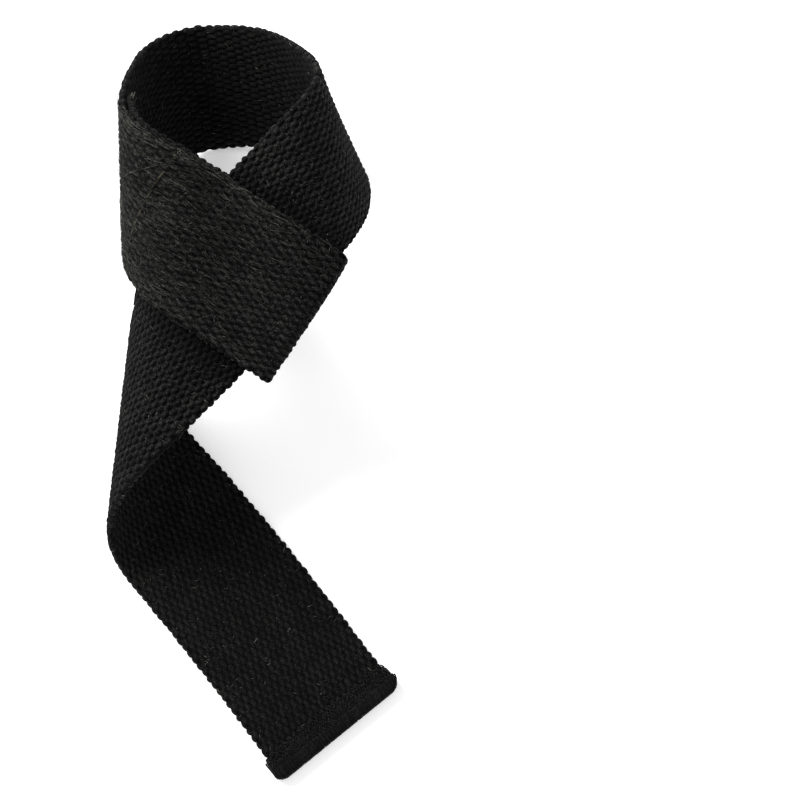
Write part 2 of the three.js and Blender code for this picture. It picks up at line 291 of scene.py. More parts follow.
def loop_cone():
    """The wrist loop's cone, from the crossing round by the left: a flat front, quarter ellipses."""
    quarter = np.linspace(0, math.pi / 2, CONE_STEPS + 1)
    points = [np.array([[0, LOOP_FRONT]])]
    for centre, wide, deep, start in (
        (-FLAT_LEFT, LOOP_LEFT - FLAT_LEFT, LOOP_FRONT, 90),
        (-BACK_SHIFT, LOOP_LEFT - BACK_SHIFT, LOOP_BACK, 180),
        (-BACK_SHIFT, LOOP_RIGHT + BACK_SHIFT, LOOP_BACK, 270),
        (FLAT_RIGHT, LOOP_RIGHT - FLAT_RIGHT, LOOP_FRONT, 0),
    ):
        a = math.radians(start) + quarter
        points.append(np.stack([centre + wide * np.cos(a), deep * np.sin(a)], -1))
    points.append(np.array([[0, LOOP_FRONT]]))
    points = np.concatenate(points)
    apart = np.linalg.norm(np.diff(points, axis=0), axis=1) > 1e-4
    points = points[np.concatenate([[True], apart])]
    behind = math.atan2(LOOP_FRONT, SECTION_REACH)
    axis = about(front_ray, front_side, behind)
    forward = about(front_normal, front_side, behind)
    cone = Cone(SECTION_REACH * axis + points[:, :1] * front_side + points[:, 1:] * forward, 1)
    cone.normals[0] = cone.normals[-1] = front_normal
    return cone


wrist_cone = loop_cone()
loop_angle = wrist_cone.angle[-1]
loop_length = 2 * CROSSING_REACH * math.sin(slope)
tail_end = loop_length + TAIL_LENGTH

# The band's slight bends in its own plane: where each starts, its length and its turn in degrees
TURNS = [
    (loop_length - 56, 30, MOUTH_TURN),
    (loop_length + 6, 35, UPPER_TURN),
    (loop_length + 50, 80, TAIL_TURN),
]


def heading_at(along):
    turned = sum(by * np.clip((along - start) / over, 0, 1) for start, over, by in TURNS)
    return np.radians(turned) - slope


route_at = np.arange(0, tail_end + BINDING_DEPTH, ROUTE_STEP)
route_heading = heading_at(route_at + ROUTE_STEP / 2)
route_steps = np.stack([np.cos(route_heading), np.sin(route_heading)], -1) * ROUTE_STEP
route_start = np.array([[0, CROSSING_REACH]])
route = np.concatenate([route_start, route_start + np.cumsum(route_steps, axis=0)])


def flat_point(along, across):
    """A point of the band with the loop's cone laid flat; across grows away from the apex."""
    heading = heading_at(along)
    step = np.clip(np.floor(along / ROUTE_STEP).astype(int), 0, len(route) - 2)
    share = (along / ROUTE_STEP - step)[..., None]
    middle = route[step] * (1 - share) + route[step + 1] * share
    return middle + across[..., None] * np.stack([-np.sin(heading), np.cos(heading)], -1)


def turned_flat(points, angle):
    c, s = math.cos(angle), math.sin(angle)
    x, y = points[..., 0], points[..., 1]
    return np.stack([x * c - y * s, x * s + y * c], -1)


def in_front_layer(points):
    return turned_flat(points - route[0], slope)


crossing_angle = loop_angle + math.radians(MOUTH_TURN)
crossing_flat = flat_point(np.array([loop_length]), np.array([0.0]))
crossing_point = in_front_layer(turned_flat(crossing_flat, loop_angle))[0]
crossing_shift = crossing_point[0] - crossing_point[1] / math.tan(crossing_angle)
passing_reach = HALF_WIDTH / math.sin(crossing_angle) + HALF_WIDTH / math.tan(crossing_angle)
mouth = loop_length - passing_reach
slot_end = passing_reach - SLOT_PINCH - crossing_shift + LAYER_GAP - (LAYER_PITCH - HALF_THICKNESS)
crossing = np.array([0, 0, CROSSING_Z])
passing_origin = crossing - LAYER_PITCH * front_normal
apex_up = (HALF_THICKNESS - passing_origin[2]) / slope_up[2]
fold_apex = passing_origin - FOLD_SIDE * rightward + slope_up * apex_up


def pinched(across, along):
    near = SLOT_PINCH * ease(1 - np.abs(along - mouth) / PINCH_LENGTH)
    return np.where(across > 0, across - near * (across / HALF_WIDTH) ** 2, across)


def on_loop(along, across, inward):
    """A point on the loop's wall, from the crossing, so far inside the outermost layer's middle."""
    flat = flat_point(along, across)
    angle = np.arctan2(flat[..., 0], flat[..., 1])
    angle = angle + np.where((along > loop_length / 2) & (angle < 0), 2 * math.pi, 0)
    place = np.mod(angle, loop_angle) / loop_angle
    rays, normals = wrist_cone.at(place * loop_angle)
    far = np.linalg.norm(flat, axis=-1)
    middle = CROSSING_REACH * math.cos(slope) / np.cos((place - 0.5) * loop_angle)
    flare = np.tan(np.radians(WALL_FLARE * between(WALL_FLARES, place)))
    bulge = WALL_BULGE * between(WALL_BULGES, place) + (far - middle) * flare
    off_cone = (bulge - inward)[..., None] * normals
    return far[..., None] * rays + off_cone - CROSSING_REACH * front_ray


def fold_cone():
    """The lower fold's cone: down the front plane, round by the left, and out over the floor."""
    heading = math.radians(FOLD_HEADING)
    middle = about(slope_up, rightward, -tilt / 2)
    axis = math.sin(heading) * middle - math.cos(heading) * rightward
    front_touch = unit(axis - (axis @ front_normal) * front_normal)
    floor_touch = unit(axis - (axis @ floor_normal) * floor_normal)
    start = front_touch - (front_touch @ axis) * axis
    stop = floor_touch - (floor_touch @ axis) * axis
    round_ = math.atan2(np.cross(stop, start) @ axis, start @ stop) % (2 * math.pi)
    share = np.linspace(0, 1, CONE_STEPS + 1)
    fine = np.linspace(0, 1, 2 * CONE_STEPS + 1)
    rays = np.concatenate([
        about(front_touch, front_normal, -FOLD_SWEEP * share[:0:-1]),
        about(front_touch, axis, -round_ * fine[:-1]),
        about(floor_touch, floor_normal, -FOLD_SWEEP * share),
    ])
    cone = Cone(rays, -1)
    cone.first = cone.angle[CONE_STEPS]
    cone.touch = math.atan2(front_touch @ slope_up, front_touch[0])
    return cone


lower_cone = fold_cone()


def on_tail(station, across, outward):
    """A point on the lower fold or the tail, whose end rises by the binding's thread."""
    along = station + across * END_SLANT * ease((station - tail_end + END_RISE) / END_RISE)
    flat = turned_flat(flat_point(along, across), loop_angle)
    place = (flat[..., 1:] - CROSSING_REACH) * front_ray - flat[..., :1] * front_side
    place = place + passing_origin - fold_apex
    turn = np.arctan2(place @ slope_up, place[..., 0])
    rays, normals = lower_cone.at(np.mod(turn - lower_cone.touch + lower_cone.first, 2 * math.pi))
    near_end = ease((station - tail_end + BINDING_DEPTH + END_RISE) / END_RISE)
    rise = (BINDING_THREAD + LAYER_GAP) * near_end
    far = np.linalg.norm(place, axis=-1)[..., None]
    return fold_apex + far * rays + outward[..., None] * normals + rise[..., None] * floor_normal


def on_band(along, across, outward):
    narrowed = pinched(across, along)
    dive = LAYER_PITCH * ease((along - mouth + DIVE_LENGTH) / DIVE_LENGTH)
    wall = on_loop(along, narrowed, dive - outward) + crossing
    past = in_front_layer(turned_flat(flat_point(along, narrowed), loop_angle))[..., 1] - HALF_WIDTH
    share = np.where((along >= mouth) & (past > 0), ease(past / EXIT_BLEND), 0)[..., None]
    return wall * (1 - share) + on_tail(np.maximum(along, mouth), narrowed, outward) * share


def on_back_layer(along, across, outward):
    edge = crossing_shift + HALF_WIDTH / math.sin(crossing_angle)
    edge = edge + across / math.tan(crossing_angle)
    step = ease((along - edge - LAYER_GAP) / STEP_LENGTH)
    return on_loop(along, across, LAYER_PITCH * (2 - step) + outward) + crossing


def on_slot_fold(share, across, outward):
    angle = math.pi * share
    radius = LAYER_PITCH + outward
    along = -slot_end - radius * np.sin(angle)
    return on_loop(along, across, LAYER_PITCH + radius * np.cos(angle)) + crossing


BEND_LENGTH = math.pi * LAYER_PITCH
CLOTH_LENGTH = SLOT_LENGTH + BEND_LENGTH + slot_end + tail_end
BAND_START = SLOT_LENGTH + BEND_LENGTH + slot_end


def strap(length, across, outward):
    """A point of the cloth in the row frame, in millimetres, at a length from its raw inner end."""
    given = np.broadcast_arrays(length, across, outward)
    length, across, outward = (np.asarray(a, float) for a in given)
    back = on_back_layer(SLOT_LENGTH - slot_end - length, across, outward)
    bend = on_slot_fold(np.clip((length - SLOT_LENGTH) / BEND_LENGTH, 0, 1), across, outward)
    band = on_band(length - BAND_START, across, outward)
    first = (length < SLOT_LENGTH)[..., None]
    second = (length < SLOT_LENGTH + BEND_LENGTH)[..., None]
    return np.where(first, back, np.where(second, bend, band)) + [CROSSING_X, CROSSING_Y, 0]


def directions(length, across, outward):
    """The cloth's run, its direction across and its outward normal at a point."""
    run = unit(strap(length + PROBE, across, outward) - strap(length - PROBE, across, outward))
    side = unit(strap(length, across + PROBE, outward) - strap(length, across - PROBE, outward))
    return run, side, unit(np.cross(run, side))


# Meshes

def mesh_object(name, points, faces, smooth=True):
    mesh = bpy.data.meshes.new(name)
    mesh.from_pydata([tuple(p) for p in points], [], [tuple(int(i) for i in f) for f in faces])
    mesh.polygons.foreach_set("use_smooth", [smooth] * len(mesh.polygons))
    mesh.update()
    piece = bpy.data.objects.new(name, mesh)
    bpy.context.scene.collection.objects.link(piece)
    return piece


def add_values(mesh, name, values):
    values = np.asarray(values, np.float32)
    kind = "FLOAT_VECTOR" if values.ndim == 2 else "FLOAT"
    field = mesh.attributes.new(name, kind, "POINT")
    field.data.foreach_set("vector" if values.ndim == 2 else "value", values.ravel())


def section(width, thickness, across_steps, edge_steps):
    """A band's section with flat faces and round edges, as columns of across and outward."""
    flat = (width - thickness) / 2
    a = np.linspace(flat, -flat, across_steps + 1)
    t = np.linspace(0, math.pi, edge_steps + 1)[1:-1]
    half = thickness / 2
    across = np.concatenate([a, -flat - half * np.sin(t), -a, flat + half * np.sin(t)])
    outward = np.concatenate([0 * a + half, half * np.cos(t), 0 * a - half, -half * np.cos(t)])
    return across, outward


def loft_faces(rings, count):
    faces = []
    for r in range(rings - 1):
        for i in range(count):
            a, b = r * count + i, r * count + (i + 1) % count
            faces.append((a, b, b + count, a + count))
    faces.append(tuple(range(count - 1, -1, -1)))
    faces.append(tuple((rings - 1) * count + i for i in range(count)))
    return faces


def cloth_core():
    along_steps, across_steps, edge_steps = CORE_STEPS
    across, outward = section(STRAP_WIDTH - 2 * CORE_INSET, 2 * CORE_HALF, across_steps, edge_steps)
    lengths = np.linspace(0, CLOTH_LENGTH, along_steps)
    points = strap(lengths[:, None], across[None], outward[None]).reshape(-1, 3) * MM
    core = mesh_object("webbing_cloth", points, loft_faces(len(lengths), len(across)))
    add_values(core.data, "tone", np.zeros(len(points)))
    # The core between the floats has the floats' foot share of tone: painted shade in the gaps
    add_values(core.data, "rise", np.full(len(points), FOOT_SHADE))
    return core


# Node helpers

def add_node(tree, kind, settings=None, **links):
    """Adds a node, sets it up, and fills or links its sockets, by name or as i0, i1 and so on."""
    new = tree.nodes.new(kind)
    for key, value in (settings or {}).items():
        setattr(new, key, value)
    for key, value in links.items():
        by_number = key[0] == "i" and key[1:].isdigit()
        socket = new.inputs[int(key[1:]) if by_number else key.replace("_", " ")]
        if isinstance(value, bpy.types.NodeSocket):
            tree.links.new(value, socket)
        else:
            socket.default_value = value
    return new


def maths(tree, operation, first, second, clamp=False):
    """A sum, difference or product of two sockets or values."""
    settings = {"operation": operation, "use_clamp": clamp}
    return add_node(tree, "ShaderNodeMath", settings, i0=first, i1=second).outputs[0]


def random_between(tree, lowest, highest):
    """A random value for each thread or fibre, as its node."""
    spread = add_node(tree, "FunctionNodeRandomValue", {"data_type": "FLOAT"})
    for number, value in ((2, lowest), (3, highest)):
        if isinstance(value, bpy.types.NodeSocket):
            tree.links.new(value, spread.inputs[number])
        else:
            spread.inputs[number].default_value = value
    return spread


def colour(hex_code, alpha=1.0):
    """An sRGB hex colour as linear values."""
    parts = [int(hex_code[i:i + 2], 16) / 255 for i in (0, 2, 4)]
    linear = [p / 12.92 if p <= 0.04045 else ((p + 0.055) / 1.055) ** 2.4 for p in parts]
    return (*linear, alpha)


# How far each noise moves the tone: broad patches, the grain, and the fibres along a thread
PATCH_SWING = 0.4
GRAIN_SWING = 3.2
STREAK_SWING = 2.4
PATCH_SCALE = 70.0
BUMP_STRENGTH = 0.7
DULL_SPECULAR = 0.08
SHEEN_ROUGHNESS = 0.45
SHEEN_TINT = "b8b8b4"


def swing(tree, noise, size):
    """A noise's value centred on nought and made this large."""
    return add_node(tree, "ShaderNodeMath", {"operation": "MULTIPLY_ADD"}, i0=noise, i1=size,
                    i2=-size / 2).outputs[0]


def cloth_material(name, dark, light, roughness, sheen, grain, depth):
    """Dyed cotton: each thread's own tone, painted shade where it dives under the next, fine fibres
    along it.
    """
    material = bpy.data.materials.new(name)
    material.use_nodes = True
    tree = material.node_tree
    tree.nodes.clear()
    place = add_node(tree, "ShaderNodeTexCoord").outputs["Object"]
    tone = add_node(tree, "ShaderNodeAttribute", {"attribute_name": "tone"})
    rise = add_node(tree, "ShaderNodeAttribute", {"attribute_name": "rise"})
    thread = add_node(tree, "ShaderNodeAttribute", {"attribute_name": "thread"})
    noise = "ShaderNodeTexNoise"
    fine = add_node(tree, noise, None, Vector=place, Scale=grain, Detail=3.0).outputs[0]
    broad = add_node(tree, noise, None, Vector=place, Scale=PATCH_SCALE, Detail=3.0).outputs[0]
    fibres = thread.outputs["Vector"]
    streak = add_node(tree, noise, None, Vector=fibres, Scale=1.0, Detail=2.0).outputs[0]
    uneven = maths(tree, "ADD", swing(tree, broad, PATCH_SWING), swing(tree, fine, GRAIN_SWING))
    uneven = maths(tree, "ADD", uneven, swing(tree, streak, STREAK_SWING))
    lit = maths(tree, "ADD", uneven, tone.outputs["Fac"], clamp=True)
    # The rise takes tone off towards each float's foot and over the core: painted shade
    lit = maths(tree, "MULTIPLY", lit, rise.outputs["Fac"], clamp=True)
    shade = add_node(tree, "ShaderNodeMix", {"data_type": "RGBA"}, i0=lit, i6=colour(dark),
                     i7=colour(light))
    relief = maths(tree, "ADD", fine, streak)
    bump = add_node(tree, "ShaderNodeBump", None, Strength=BUMP_STRENGTH, Distance=depth,
                    Height=relief)
    surface = add_node(tree, "ShaderNodeBsdfPrincipled", None, Base_Color=shade.outputs[2],
                       Roughness=roughness, Normal=bump.outputs[0])
    surface.inputs["Specular IOR Level"].default_value = DULL_SPECULAR
    surface.inputs["Sheen Weight"].default_value = sheen
    surface.inputs["Sheen Roughness"].default_value = SHEEN_ROUGHNESS
    surface.inputs["Sheen Tint"].default_value = colour(SHEEN_TINT)
    add_node(tree, "ShaderNodeOutputMaterial", None, Surface=surface.outputs[0])
    return material


# Each material has a dark and a light colour, a roughness, a sheen, its grain's scale and the bump's
# depth in metres

# Woven cotton webbing: dyed black, matt, with a little grey bloom on its threads
webbing_cotton = cloth_material(
    "woven cotton webbing", "030303", "3a3a39", roughness=0.9, sheen=0.01, grain=2600.0, depth=0.00012)
# The cloth's inner face: the same cotton with a darker light colour, as painted shade
shaded_inner_cotton = cloth_material(
    "inner face of the webbing", "030303", "252524", roughness=0.9, sheen=0.01, grain=2600.0,
    depth=0.00012)
# Polyester overlock thread: black, smoother than the cotton
sewing_thread = cloth_material(
    "black sewing thread", "030303", "222221", roughness=0.75, sheen=0.01, grain=3500.0, depth=0.00004)
# Polyester seam thread: the black has worn off to a dull olive grey
worn_thread = cloth_material(
    "worn seam thread", "100f0c", "4d4a3e", roughness=0.8, sheen=0.01, grain=3500.0, depth=0.00004)
# Stray cotton fibres: grey where they catch the light
stray_fibre = cloth_material(
    "stray cotton fibre", "2c2c2a", "8c8c86", roughness=0.8, sheen=0.02, grain=900.0, depth=0.00001)
# Cotton fibres rubbed loose and flattened on the cloth: dark grey, a little olive
rubbed_fibre = cloth_material(
    "rubbed cotton fibre", "232321", "6e6e66", roughness=0.85, sheen=0.02, grain=900.0, depth=0.00001)
# Cotton down that stands off the cloth: black, so that it only softens the weave
cotton_down = cloth_material(
    "black cotton down", "121211", "4a4a47", roughness=0.8, sheen=0.02, grain=900.0, depth=0.00001)
# Pale cotton lint on the cloth
pale_lint = cloth_material(
    "pale lint", "5c5a53", "8f8c82", roughness=0.9, sheen=0.2, grain=900.0, depth=0.00001)


def new_group(name, first, fields, last):
    """A node group with one geometry in and out and named inputs, and the sockets that it gives."""
    tree = bpy.data.node_groups.new(name, "GeometryNodeTree")
    face = tree.interface
    face.new_socket(first, in_out="INPUT", socket_type="NodeSocketGeometry")
    inputs = {}
    for field, kind in fields.items():
        socket = face.new_socket(field, in_out="INPUT", socket_type="NodeSocket" + kind)
        inputs[field] = socket.identifier
    face.new_socket(last, in_out="OUTPUT", socket_type="NodeSocketGeometry")
    return tree, inputs, add_node(tree, "NodeGroupInput").outputs


def realised(tree, placed, material, last):
    """Turns instances into one mesh, dresses it and sends it out."""
    real = add_node(tree, "GeometryNodeRealizeInstances", None, Geometry=placed)
    dressed = add_node(tree, "GeometryNodeSetMaterial", None, Geometry=real.outputs[0],
                       Material=material)
    add_node(tree, "NodeGroupOutput", None, **{last: dressed.outputs[0]})


def seated_group():
    """Geometry Nodes: one thread mesh on every seat, turned to the seat's normal and run."""
    tree, inputs, given = new_group("threads on seats", "Seats", {
        "Thread": "Object", "Length": "Float", "Width": "Float", "Height": "Float",
        "Variation": "Float", "Seed": "Int", "Material": "Material"}, "Threads")
    named = "GeometryNodeInputNamedAttribute"
    normal = add_node(tree, named, {"data_type": "FLOAT_VECTOR"}, Name="seat_normal")
    run = add_node(tree, named, {"data_type": "FLOAT_VECTOR"}, Name="seat_run")
    turn = add_node(tree, "FunctionNodeAxesToRotation", {"primary_axis": "Z", "secondary_axis": "X"},
                    i0=normal.outputs[0], i1=run.outputs[0])
    less = maths(tree, "SUBTRACT", 1.0, given["Variation"])
    more = maths(tree, "ADD", 1.0, given["Variation"])
    sizes = []
    for k, key in enumerate(("Length", "Width", "Height")):
        spread = random_between(tree, less, more)
        tree.links.new(maths(tree, "ADD", given["Seed"], float(k)), spread.inputs["Seed"])
        sizes.append(maths(tree, "MULTIPLY", spread.outputs[1], given[key]))
    scale = add_node(tree, "ShaderNodeCombineXYZ", None, X=sizes[0], Y=sizes[1], Z=sizes[2])
    shape = add_node(tree, "GeometryNodeObjectInfo", None, Object=given["Thread"])
    placed = add_node(tree, "GeometryNodeInstanceOnPoints", None, Points=given["Seats"],
                      Instance=shape.outputs["Geometry"], Rotation=turn.outputs[0],
                      Scale=scale.outputs[0])
    realised(tree, placed.outputs[0], given["Material"], "Threads")
    return tree, inputs


def fibre_group():
    """Geometry Nodes: loose fibres scattered over the cloth's faces."""
    tree, inputs, given = new_group("fibres on cloth", "Cloth", {
        "Fibre": "Object", "Density": "Float", "Shortest": "Float", "Longest": "Float",
        "Lift": "Float", "Seed": "Int", "Material": "Material"}, "Fibres")
    spots = add_node(tree, "GeometryNodeDistributePointsOnFaces", None, Mesh=given["Cloth"],
                     Density=given["Density"], Seed=given["Seed"])
    leaning = random_between(tree, maths(tree, "MULTIPLY", given["Lift"], -1.0), given["Lift"])
    spin = random_between(tree, 0.0, 2 * math.pi)
    turn = add_node(tree, "ShaderNodeCombineXYZ", None, Y=leaning.outputs[1], Z=spin.outputs[1])
    turned = add_node(tree, "FunctionNodeRotateRotation", {"rotation_space": "LOCAL"},
                      i0=spots.outputs["Rotation"], i1=turn.outputs[0])
    size = random_between(tree, given["Shortest"], given["Longest"])
    shape = add_node(tree, "GeometryNodeObjectInfo", None, Object=given["Fibre"])
    placed = add_node(tree, "GeometryNodeInstanceOnPoints", None, Points=spots.outputs["Points"],
                      Instance=shape.outputs["Geometry"], Rotation=turned.outputs[0],
                      Scale=size.outputs[1])
    tint = random_between(tree, 0.0, 1.0)
    toned = add_node(tree, "GeometryNodeStoreNamedAttribute",
                     {"data_type": "FLOAT", "domain": "INSTANCE"},
                     Geometry=placed.outputs[0], Name="tone", Value=tint.outputs[1])
    realised(tree, toned.outputs[0], given["Material"], "Fibres")
    return tree, inputs


seat_tree, seat_inputs = seated_group()
fibre_tree, fibre_inputs = fibre_group()


def grown(piece, tree, inputs, **values):
    """Runs a node group on a piece's mesh once and keeps what it makes as the piece's own mesh."""
    modifier = piece.modifiers.new(tree.name, "NODES")
    modifier.node_group = tree
    for name, value in values.items():
        modifier[inputs[name]] = value
    piece.update_tag()
    bpy.context.view_layer.update()
    graph = bpy.context.evaluated_depsgraph_get()
    mesh = bpy.data.meshes.new_from_object(
        piece.evaluated_get(graph), preserve_all_data_layers=True, depsgraph=graph)
    mesh.name = piece.name
    piece.modifiers.clear()
    piece.data = mesh
    for spare in ("seat_normal", "seat_run"):
        if spare in mesh.attributes:
            mesh.attributes.remove(mesh.attributes[spare])
    mesh.polygons.foreach_set("use_smooth", [True] * len(mesh.polygons))
    return piece


def thread_mesh(name, falloff):
    """An oval thread float of unit length, width and height, with its rise, a painted shade towards its
    foot, and its fibres' run.
    """
    along_steps, across_steps = FLOAT_STEPS
    u = np.sin(np.linspace(-math.pi / 2, math.pi / 2, along_steps)) / 2
    v = np.sin(np.linspace(-math.pi / 2, math.pi / 2, across_steps)) / 2

    def height(a, b):
        return math.sqrt(max(0, 1 - (2 * a) ** 2)) * math.sqrt(max(0, 1 - (2 * b) ** 2))

    grid = [(a, b, height(a, b)) for a in u for b in v]
    corners = [r * across_steps + c
               for r in range(along_steps - 1) for c in range(across_steps - 1)]
    faces = [(k, k + across_steps, k + across_steps + 1, k + 1) for k in corners]
    piece = mesh_object(name, [(a, b, h - FLOAT_SINK) for a, b, h in grid], faces)
    # Painted shade: the tone falls from the float's top to its foot
    rise = [FOOT_SHADE + (1 - FOOT_SHADE) * h ** falloff for a, b, h in grid]
    fibres = [(FIBRES_ALONG * a + FIBRES_ACROSS * b * FIBRE_SLANT, FIBRES_ACROSS * b, 0)
              for a, b, h in grid]
    add_values(piece.data, "rise", rise)
    add_values(piece.data, "thread", fibres)
    return piece


# A direction that no thread runs along, so that each tube's section can be squared to it
ODD_DIRECTION = [0.31, 0.17, 0.93]


def tubes(name, paths, radii, sides, material, tone):
    """Round threads along paths of points in metres, with closed ends."""
    points, faces, tones = [], [], []
    turn = np.linspace(0, 2 * math.pi, sides, endpoint=False)
    for k, path in enumerate(paths):
        path = np.asarray(path, float)
        ahead = unit(np.gradient(path, axis=0))
        start = len(points)
        side = unit(np.cross(ahead, ODD_DIRECTION))
        up = np.cross(side, ahead)
        for i in range(len(path)):
            round_ = np.cos(turn)[:, None] * side[i] + np.sin(turn)[:, None] * up[i]
            points.extend(path[i] + radii[k] * round_)
        for i in range(len(path) - 1):
            for j in range(sides):
                a, b = start + i * sides + j, start + i * sides + (j + 1) % sides
                faces.append((a, a + sides, b + sides, b))
        faces.append(tuple(start + j for j in range(sides)))
        faces.append(tuple(start + (len(path) - 1) * sides + j for j in range(sides - 1, -1, -1)))
        tones.extend([tone[k]] * (len(path) * sides))
    piece = mesh_object(name, points, faces)
    add_values(piece.data, "tone", tones)
    add_values(piece.data, "rise", np.ones(len(points)))
    piece.data.materials.append(material)
    return piece


def seats(name, length, across, outward, normal, run, tone):
    piece = mesh_object(name, strap(length, across, outward) * MM, [])
    add_values(piece.data, "seat_normal", normal)
    add_values(piece.data, "seat_run", run)
    add_values(piece.data, "tone", tone)
    return piece


RANDOM_SEED = 7
rng = np.random.default_rng(RANDOM_SEED)
core = cloth_core()
core.data.materials.append(webbing_cotton)
oval = thread_mesh("warp_float", OUTER_FALLOFF)
soft_oval = thread_mesh("inner_float", INNER_FALLOFF)

# Tone of each face along the band: what it starts with, and each change's place, length and size
OUTER_TONE = 0.18
OUTER_CHANGES = [(-15, 40, 0.07), (loop_length, 30, -0.18)]
# The inner face's changes: painted shade inside the loop, painted light on the tail by the fold where
# the loop's shadow falls, and painted shade towards the tail's end where the lamp falls on it
INNER_TONE = 0.35
INNER_LIGHT_AND_SHADE = [(80, 50, -0.2), (loop_length, 30, 0.5), (tail_end - 100, 60, -0.45)]


def tone_along(along, tone, changes):
    for start, over, by in changes:
        tone = tone + by * ease((along - start) / over)
    return tone


def slot_shade_share(length, across):
    """1 where the passing band is in the slot, for the painted shade of the front layer over it, to 0
    away from it.
    """
    along = length - BAND_START
    place = in_front_layer(turned_flat(flat_point(along, across), loop_angle))[..., 1]
    outside = np.abs(place) - HALF_WIDTH
    return np.where(along > loop_length / 2, 1 - ease(outside / SLOT_SHADE), 0)


def weave(name, face):
    """The warp floats of one face: columns along the cloth, every other one half a float on."""
    columns = int((STRAP_WIDTH - 2 * SELVAGE_BAND) / COLUMN_PITCH)
    rows = int(CLOTH_LENGTH / FLOAT_PITCH)
    column, row = np.meshgrid(np.arange(columns), np.arange(rows), indexing="ij")
    across = (column - (columns - 1) / 2) * COLUMN_PITCH
    length = (row + 0.5 * (column % 2) + 0.25) * FLOAT_PITCH
    across, length = across.ravel(), length.ravel()
    length = length + rng.normal(0, WANDER_ALONG, length.shape)
    across = across + rng.normal(0, WANDER_ACROSS, across.shape)
    keep = (length > END_CLEAR) & (length < CLOTH_LENGTH - END_CLEAR)
    length, across = length[keep], across[keep]
    outward = face * (CORE_HALF - SEAT_SINK)
    run, _, normal = directions(length, across, outward)
    outer = face > 0
    tone = tone_along(length - BAND_START, OUTER_TONE if outer else INNER_TONE,
                      OUTER_CHANGES if outer else INNER_LIGHT_AND_SHADE)
    # Floats lighter towards the band's edges
    tone = tone + EDGE_LIGHTENING * (np.abs(across) / HALF_WIDTH) ** 4
    tone = tone + rng.uniform(*FLOAT_TONES, length.shape)
    # Painted shade where the passing band goes under the front layer's edges
    tone = tone - SLOT_PAINTED_SHADE * slot_shade_share(length, across)
    piece = seats(name, length, across, outward, normal * face, run, tone)
    return grown(piece, seat_tree, seat_inputs, Thread=oval if outer else soft_oval,
                 Length=FLOAT_LENGTH * MM, Width=(FLOAT_WIDTH if outer else INNER_WIDTH) * MM,
                 Height=FLOAT_HEIGHT * MM, Variation=0.12, Seed=3,
                 Material=webbing_cotton if outer else shaded_inner_cotton)


def selvages():
    """The scallops of both edges, where the weft turns back."""
    lengths = np.arange(SELVAGE_START, CLOTH_LENGTH - END_CLEAR, WEFT_PITCH)
    length = np.concatenate([lengths, lengths + WEFT_PITCH / 2])
    edge = np.repeat([-1.0, 1.0], len(lengths))
    across = edge * (HALF_WIDTH - SELVAGE_INSET)
    run, side, _ = directions(length, across, 0.0)
    tone = rng.uniform(*SELVAGE_TONES, len(length))
    piece = seats("selvage", length, across, 0.0, side * edge[:, None], run, tone)
    return grown(piece, seat_tree, seat_inputs, Thread=oval, Length=SELVAGE_LENGTH * MM,
                 Width=SELVAGE_WIDTH * MM, Height=SELVAGE_HEIGHT * MM, Variation=0.18, Seed=5,
                 Material=webbing_cotton)


def closing_seam():
    """The row of stitches that closes the slot, on the outer layer and on the turned-back one."""
    across = np.arange(SEAM_START - HALF_WIDTH, HALF_WIDTH - SEAM_STOP, SEAM_PITCH)
    at = SEAM_AT + SEAM_SLANT * (across + HALF_WIDTH - SEAM_START)
    length = np.concatenate([BAND_START + at, SLOT_LENGTH - slot_end - at])
    across = np.tile(across, 2)
    _, side, normal = directions(length, across, SEAM_OUT)
    tone = rng.uniform(*SEAM_TONES, len(length))
    piece = seats("closing_seam", length, across, SEAM_OUT, normal, side, tone)
    long, wide, high = SEAM_STITCH
    return grown(piece, seat_tree, seat_inputs, Thread=oval, Length=long * MM, Width=wide * MM,
                 Height=high * MM, Variation=0.2, Seed=11, Material=worn_thread)


def corner_cut(across):
    """How far the bound end's outline falls back from its tip towards the rounded corners."""
    into = np.abs(across) - HALF_WIDTH - BINDING_SPREAD + CORNER_ROUND
    return CORNER_ROUND * (1 - np.sqrt(1 - np.clip(into / CORNER_ROUND, 0, 1) ** 2))


def end_binding():
    """The overlocked end's body under its threads."""
    rings = []
    for past, half, thick in BODY_ROWS:
        across, outward = section(2 * half, thick, *BODY_STEPS)
        rings.append(strap(np.full(len(across), CLOTH_LENGTH + past), across, outward))
    points = np.concatenate(rings) * MM
    piece = mesh_object("binding_body", points, loft_faces(len(BODY_ROWS), len(across)))
    add_values(piece.data, "tone", np.full(len(points), BODY_TONE))
    add_values(piece.data, "rise", np.full(len(points), BODY_RISE))
    piece.data.materials.append(sewing_thread)
    return piece


